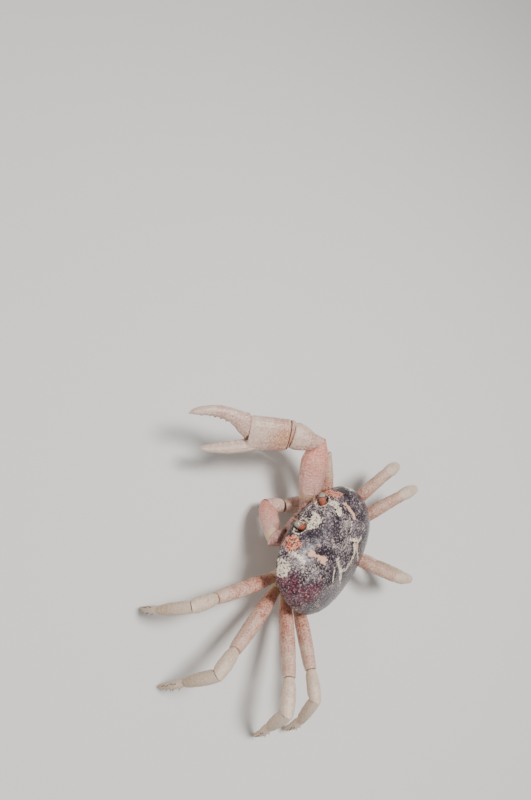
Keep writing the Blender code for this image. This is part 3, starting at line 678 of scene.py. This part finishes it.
def joint_skin(first, second, depth):
    """A soft cushion of skin that fills the gap between two limb pieces."""
    centre, ways, reach = joint_between(first, second)
    turn = Matrix((ways[:, 1], ways[:, 2], ways[:, 0])).transposed()
    if turn.determinant() < 0:
        turn.col[2] = -turn.col[2]
    drop_selection()
    bpy.ops.mesh.primitive_cylinder_add(vertices=32, radius=1, depth=1)
    skin = bpy.context.object
    half = (SKIN_SHARE * reach[1], SKIN_SHARE * reach[2], depth)
    skin.matrix_world = Matrix.Translation(centre) @ turn.to_4x4() @ Matrix.Diagonal((*half, 1))
    bpy.ops.object.transform_apply(location=True, rotation=True, scale=True)
    apply(skin, "BEVEL", width=0.3 * depth, segments=3, limit_method="ANGLE")
    return skin


def front_of(name):
    """A function that finds where a node's front is met, and which way it faces there."""
    tree = tree_of(name)
    backward = (TO_SCENE.to_3x3() @ Vector((0, 1, 0))).normalized()

    def find(x, level):
        """The spot straight behind a place in front of the body, and its outward way."""
        return tree.ray_cast(TO_SCENE @ Vector((x, -1.0, level)), backward)[:2]

    return find


def join_all(things, name):
    """One object from several, under a new name."""
    drop_selection()
    for thing in things:
        thing.select_set(True)
    bpy.context.view_layer.objects.active = things[0]
    if len(things) > 1:
        bpy.ops.object.join()
    whole = bpy.context.object
    whole.name = name
    whole.data.name = name
    return whole


# The operators, one for each group of pieces

class CRAB_OT_carapace(bpy.types.Operator):
    """Back shell with its grooves, marks and fine granules"""
    bl_idname = "crab.carapace"
    bl_label = "Carapace"

    def execute(self, context):
        piece = refined("carapace", "carapace_shell", sizes().shell_grain, 5)
        body = in_body(points_of(piece))
        plan, level = body[:, :2], body[:, 2]
        above = np.clip((level - RIM_LEVEL + MARK_FADE[0]) / MARK_FADE[1], 0, 1)
        orbit = np.zeros(len(plan))
        for centre in ORBITS:
            reach = np.linalg.norm((body - np.array(centre)) / np.array(ORBIT_RADII), axis=1)
            orbit = np.maximum(orbit, np.clip(1 - np.abs(reach - ORBIT_RIM) / ORBIT_RIM_HALF, 0, 1))
        front = np.clip(1 - np.abs(level - RIM_LEVEL) / RIM_HALF, 0, 1)
        front *= (np.abs(plan[:, 0]) < RIM_REACH) & (plan[:, 1] < -RIM_REACH)
        cream = above * mark_field(plan, CREAM_MARKS)
        set_field(piece, "cream", np.maximum(cream, np.maximum(0.75 * orbit, 0.65 * front)))
        set_field(piece, "pale", mark_field(plan, PALE_AREAS))
        set_field(piece, "salmon", above * mark_field(plan, SALMON_MARKS))
        orange = above * mark_field(plan, ORANGE_MARKS)
        set_field(piece, "orange", orange)
        set_field(piece, "wine", mark_field(plan, WINE_MARKS))
        set_field(piece, "flank", np.clip((FLANK_TOP - level) / FLANK_FADE, 0, 1))
        share_group(piece, "granules", 0.25 + orange + 0.5 * np.clip((RIM_LEVEL - level) / 0.05, 0, 1))
        rough_up(piece, texture("shell_swell", "CLOUDS", 0.006), 0.5 * MM)
        rough_up(piece, texture("shell_granules", "STUCCI", 0.0012), 0.35 * MM, "granules")
        finish_piece(piece, ["carapace"], shell_material(colours()))
        return {"FINISHED"}


class CRAB_OT_underside(bpy.types.Operator):
    """Breast, flanks, hips and the folded tail"""
    bl_idname = "crab.underside"
    bl_label = "Underside"

    def execute(self, context):
        looks = colours()
        material = limb_material("calcified_underside", looks, looks.under_pink, looks.under,
                                 looks.leg_fleck)
        for name, places in (("thorax", BREAST_SEAMS), ("abdomen", TAIL_JOINTS)):
            piece = refined(name, f"{name}_shell", sizes().limb_grain, 4)
            body = in_body(points_of(piece))
            plain_fields(piece, np.clip(0.2 - 3.0 * (body[:, 2] - UNDER_LEVEL), 0, 1))
            slanted = body[:, 1] + BREAST_SLANT * np.abs(body[:, 0])
            groove = lines_at(slanted, places, SEAM_HALF) * (body[:, 2] < BREAST_LEVEL)
            score(piece, groove, 0.45 * MM)
            rough_up(piece, texture(f"{name}_swell", "CLOUDS", 0.004), 0.3 * MM)
            finish_piece(piece, [name], material)
        return {"FINISHED"}


class CRAB_OT_legs(bpy.types.Operator):
    """Eight walking legs, each in four pieces"""
    bl_idname = "crab.legs"
    bl_label = "Legs"

    def execute(self, context):
        looks = colours()
        upper, knee, lower = [
            limb_material(f"calcified_leg_{name}", looks, base, tip, looks.leg_fleck, share, dots)
            for name, base, tip, share, dots in (("upper", looks.leg_root, looks.leg_middle, 0.55, 0.9),
                                                 ("middle", looks.leg_low, looks.leg_low, 0.7, 0.3),
                                                 ("lower", looks.leg_low, looks.leg_tip, 0.5, 0.35))]
        pattern = texture("leg_swell", "CLOUDS", 0.003)
        grit = texture("leg_grit", "STUCCI", 0.0009)
        for hand in HANDS:
            for leg in LEGS:
                names = [f"{leg}_{part}_{hand}" for part in LEG_PARTS]
                ends = leg_ends(leg, hand)
                for i, name in enumerate(names):
                    piece = refined(name, f"{name}_shell", sizes().limb_grain * (0.75 if i == 3 else 1), 3)
                    rough_up(piece, pattern, 0.35 * MM)
                    rough_up(piece, grit, 0.20 * MM)
                    if i == 0:
                        rugae(piece, ends[0], ends[1], LEG_RUGAE)
                    limb_fields(piece, ends[i], ends[i + 1], HIP_SHARE if i == 0 else 0.0)
                    finish_piece(piece, [name], (upper, knee, lower, lower)[i])
        return {"FINISHED"}


class CRAB_OT_spines(bpy.types.Operator):
    """Horny spines and short bristles on the toes"""
    bl_idname = "crab.spines"
    bl_label = "Toe spines"

    def execute(self, context):
        horn = plain_material("toe_horn", colours().horn, 0.4, 0.6 * MM, 0.02 * MM, colours().bristle)
        chance = random.Random(21)
        for hand in HANDS:
            for leg in LEGS:
                name = f"{leg}_dactyl_{hand}"
                ends = leg_ends(leg, hand)
                axis = (ends[4] - ends[3]).normalized()
                shoots = []
                for tip in spine_tips(name, ends[3], ends[4]):
                    out = axis_foot(tip, ends[3], axis)[1]
                    way = (out + 0.8 * axis).normalized()
                    shoots.append((tip - way * 1.7 * MM, tip + way * 0.25 * MM, 0.36 * MM))
                    for _ in range(BRISTLES):
                        spot = tip - way * 1.1 * MM + axis * chance.uniform(0.9, 2.6) * MM
                        spot -= out * chance.uniform(0.45, 0.75) * MM
                        shoots.append((spot - out * 0.5 * MM, spot + (out + axis) * 0.55 * MM, 0.07 * MM))
                piece = cones(shoots, f"{leg}_spines_{hand}")
                finish_piece(piece, [], horn)
        return {"FINISHED"}


class CRAB_OT_claws(bpy.types.Operator):
    """Both claws, each with arm, wrist, palm and finger"""
    bl_idname = "crab.claws"
    bl_label = "Claws"

    def execute(self, context):
        looks = colours()
        arm = limb_material("calcified_claw_arm", looks, looks.claw_arm, looks.claw_arm_red,
                            looks.leg_fleck, 0.5, 0.4)
        palm = limb_material("calcified_claw_hand", looks, looks.claw_hand_pink, looks.claw_hand,
                             looks.claw_fleck, 0.7, 0.45)
        pattern = texture("claw_swell", "CLOUDS", 0.005)
        grit = texture("claw_grit", "STUCCI", 0.0010)
        for hand in HANDS:
            names = [f"claw_{part}_{hand}" for part in CLAW_PARTS]
            joints = [joint_between(a, b)[0] for a, b in zip(["thorax", *names], names)]
            ends = [*joints, 2 * middle(names[3]) - joints[3]]
            for i, name in enumerate(names):
                piece = refined(name, f"{name}_shell", sizes().limb_grain * 0.9, 3)
                rough_up(piece, pattern, 0.4 * MM)
                rough_up(piece, grit, 0.20 * MM)
                if i == 0:
                    rugae(piece, ends[0], ends[1], CLAW_RUGAE)
                fold = limb_fields(piece, ends[i], ends[i + 1], (CLAW_HIP_SHARE, 0, 0, 0)[i],
                                   (0, 0, PALM_FOLD, 0)[i])
                if name == "claw_palm_right":
                    score(piece, fold, PALM_FOLD_DEPTH)
                    spot = np.array(ends[2] + (ends[3] - ends[2]) * BLOTCH_SHARE)
                    away = np.linalg.norm(points_of(piece) - spot, axis=1)
                    piece.data.attributes["blotch"].data.foreach_set(
                        "value", np.clip(1 - 0.5 * away / BLOTCH_RADIUS, 0, 1).astype(np.float32))
                finish_piece(piece, [name], arm if i == 0 else palm)
        return {"FINISHED"}


class CRAB_OT_joints(bpy.types.Operator):
    """Soft skins in the gaps between the limb pieces"""
    bl_idname = "crab.joints"
    bl_label = "Joint skins"

    def execute(self, context):
        looks = colours()
        hip = plain_material("hip_membrane", looks.joint_cream, 0.6, 0.8 * MM, 0.1 * MM,
                             looks.joint_cream_low)
        fold = plain_material("joint_membrane", looks.joint_dark, 0.6, 0.8 * MM, 0.1 * MM,
                              looks.joint_dark_low)
        limbs = (*[(leg, LEG_PARTS, "leg") for leg in LEGS], ("claw", CLAW_PARTS, "claw"))
        for hand in HANDS:
            for limb, parts, slot_name in limbs:
                names = [f"{limb}_{part}_{hand}" for part in parts]
                skin = join_all([joint_skin("thorax", names[0], HIP_SKIN)], f"{limb}_hip_skin_{hand}")
                finish_piece(skin, [], hip)
                skins = [joint_skin(a, b, LIMB_SKIN) for a, b in zip(names, names[1:])]
                finish_piece(join_all(skins, f"{limb}_skins_{hand}"), [], fold)
        return {"FINISHED"}


class CRAB_OT_face(bpy.types.Operator):
    """Eyes on their stalks, feelers and mouthparts"""
    bl_idname = "crab.face"
    bl_label = "Face"

    def execute(self, context):
        looks = colours()
        stalk = plain_material("eyestalk_cuticle", looks.stalk, 0.32, 0.9 * MM, 0.03 * MM, looks.stalk_low)
        eye = plain_material("cornea", looks.eye, 0.16, 0.45 * MM, 0.005 * MM, looks.eye_low)
        mouth = limb_material("calcified_mouthpart", looks, looks.under_pink, looks.under, looks.leg_fleck)
        feeler = plain_material("feeler_cuticle", looks.feeler, 0.5, 0.5 * MM, 0.03 * MM, looks.feeler_low)
        kinds = (("eyestalk", "stalk", stalk), ("eye", "eye", eye), ("antenna", "claw", feeler),
                 ("maxilliped", "underside", mouth))
        for hand in HANDS:
            for kind, slot_name, material in kinds:
                name = f"{kind}_{hand}"
                piece = refined(name, f"{name}_shell", sizes().face_grain, 3)
                if kind == "maxilliped":
                    level = in_body(points_of(piece))[:, 2]
                    plain_fields(piece, np.clip(0.45 - 4 * np.abs(level - UNDER_LEVEL), 0, 1))
                    score(piece, lines_at(level, (MOUTH_SEAM,), SEAM_HALF), 0.3 * MM)
                finish_piece(piece, [name], material)
        return {"FINISHED"}


class CRAB_OT_mouth(bpy.types.Operator):
    """Granules under the orbits, antennules and the hair between the mouthparts"""
    bl_idname = "crab.mouth"
    bl_label = "Mouth trim"

    def execute(self, context):
        looks = colours()
        grain = plain_material("calcified_granule", looks.cream, 0.4, 0.5 * MM, 0.02 * MM, looks.leg_root)
        feeler = plain_material("antennule_cuticle", looks.antennule, 0.5, 0.5 * MM, 0.03 * MM,
                                looks.feeler_low)
        hair = plain_material("mouth_hair", looks.bristle, 0.6, 0.5 * MM, 0.02 * MM, looks.horn)
        shell = front_of("carapace")
        chance = random.Random(33)
        for hand, side in (("left", 1), ("right", -1)):
            shoots = []
            for i in range(ORBIT_GRAINS):
                x = side * (GRAIN_START[0] + GRAIN_STEP[0] * i)
                spot, out = shell(x, GRAIN_START[1] + GRAIN_STEP[1] * i)
                size = chance.uniform(0.40, 0.55) * MM
                shoots.append((spot - out * 0.5 * MM, spot + out * 0.40 * MM, size))
            finish_piece(cones(shoots, f"orbit_granules_{hand}", 8), [], grain)
            root, bend, tip = [TO_SCENE @ Vector((side * x, y, z)) for x, y, z in ANTENNULE]
            shoots = [(root, bend, 0.85 * MM), (bend - (tip - bend) * 0.1, tip, 0.55 * MM)]
            finish_piece(cones(shoots, f"antennule_{hand}", 10), [], feeler)
            plate = front_of(f"maxilliped_{hand}")
            inward = TO_SCENE.to_3x3().normalized() @ Vector((-side * 1.4, 0, -0.4))
            shoots = []
            for i in range(HAIRS):
                level = HAIR_TOP - HAIR_STEP * i + chance.uniform(-0.002, 0.002)
                spot, out = plate(side * HAIR_SIDE, level)
                if spot is None:
                    continue
                way = (out + inward).normalized()
                shoots.append((spot - way * 0.4 * MM, spot + way * chance.uniform(1.0, 1.5) * MM, 0.09 * MM))
            finish_piece(cones(shoots, f"mouth_hair_{hand}", 5), [], hair)
        return {"FINISHED"}


class CRAB_OT_stage(bpy.types.Operator):
    """Pale floor, soft lights and the photograph's camera"""
    bl_idname = "crab.stage"
    bl_label = "Stage"

    def execute(self, context):
        material, _, shader = new_material("studio_paper", Roughness=0.9)
        shader.inputs["Base Color"].default_value = hex_colour(colours().floor)
        drop_selection()
        bpy.ops.mesh.primitive_plane_add(size=sizes().floor_width, location=(0, 0, 0))
        floor = bpy.context.object
        floor.name = "studio_floor"
        floor.data.materials.append(material)
        centre = BODY + Vector((0, 0, -0.02))
        main_way = CAMERA_RIGHT * 0.55 + CAMERA_UP * 0.45 + CAMERA_BACK
        fill_way = CAMERA_BACK - CAMERA_RIGHT * 0.9 - CAMERA_UP * 0.2
        for name, way, size, power in (("main_light", main_way, 0.22, sizes().light_power),
                                       ("fill_light", fill_way, 0.9, sizes().fill_power)):
            light = bpy.data.lights.new(name, "AREA")
            light.size = size
            light.energy = power
            lamp = bpy.data.objects.new(name, light)
            lamp.location = centre + way.normalized() * LIGHT_DISTANCE
            lamp.rotation_euler = way.to_track_quat("Z", "Y").to_euler()
            context.collection.objects.link(lamp)
        world = bpy.data.worlds.new("studio_air")
        world.use_nodes = True
        air = world.node_tree.nodes["Background"]
        air.inputs["Color"].default_value = hex_colour(colours().air)
        air.inputs["Strength"].default_value = AIR_STRENGTH
        context.scene.world = world
        lens = bpy.data.cameras.new("photo_camera")
        lens.sensor_width = SENSOR
        lens.lens = LENS
        lens.clip_start = NEAR_CLIP
        camera = bpy.data.objects.new("photo_camera", lens)
        turn = Matrix((CAMERA_RIGHT, CAMERA_UP, CAMERA_BACK)).transposed().to_4x4()
        camera.matrix_world = Matrix.Translation(BODY + CAMERA_FROM_BODY * WIDTH) @ turn
        context.collection.objects.link(camera)
        context.scene.camera = camera
        return {"FINISHED"}


class CRAB_PT_panel(bpy.types.Panel):
    """The crab's pieces and their sizes and colours"""
    bl_label = "Land crab"
    bl_idname = "CRAB_PT_panel"
    bl_space_type = "VIEW_3D"
    bl_region_type = "UI"
    bl_category = "Crab"

    def draw(self, context):
        for operator in OPERATORS:
            self.layout.operator(operator.bl_idname)
        for group in (context.scene.crab_sizes, context.scene.crab_colours):
            for key in group.__annotations__:
                self.layout.prop(group, key)


GROUPS = (CRAB_PG_sizes, CRAB_PG_colours)
OPERATORS = (CRAB_OT_carapace, CRAB_OT_underside, CRAB_OT_legs, CRAB_OT_spines, CRAB_OT_claws, CRAB_OT_joints,
             CRAB_OT_face, CRAB_OT_mouth, CRAB_OT_stage)


def register():
    """Makes the operators, the panel and the settings known to Blender."""
    for made in (*GROUPS, *OPERATORS, CRAB_PT_panel):
        bpy.utils.register_class(made)
    bpy.types.Scene.crab_sizes = bpy.props.PointerProperty(type=CRAB_PG_sizes)
    bpy.types.Scene.crab_colours = bpy.props.PointerProperty(type=CRAB_PG_colours)


def unregister():
    """Takes back what register did."""
    del bpy.types.Scene.crab_colours
    del bpy.types.Scene.crab_sizes
    for made in reversed((*GROUPS, *OPERATORS, CRAB_PT_panel)):
        bpy.utils.unregister_class(made)


def main():
    """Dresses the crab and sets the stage."""
    register()
    bpy.ops.crab.carapace()
    bpy.ops.crab.underside()
    bpy.ops.crab.legs()
    bpy.ops.crab.spines()
    bpy.ops.crab.claws()
    bpy.ops.crab.joints()
    bpy.ops.crab.face()
    bpy.ops.crab.mouth()
    bpy.ops.crab.stage()


if __name__ == "__main__":
    main()
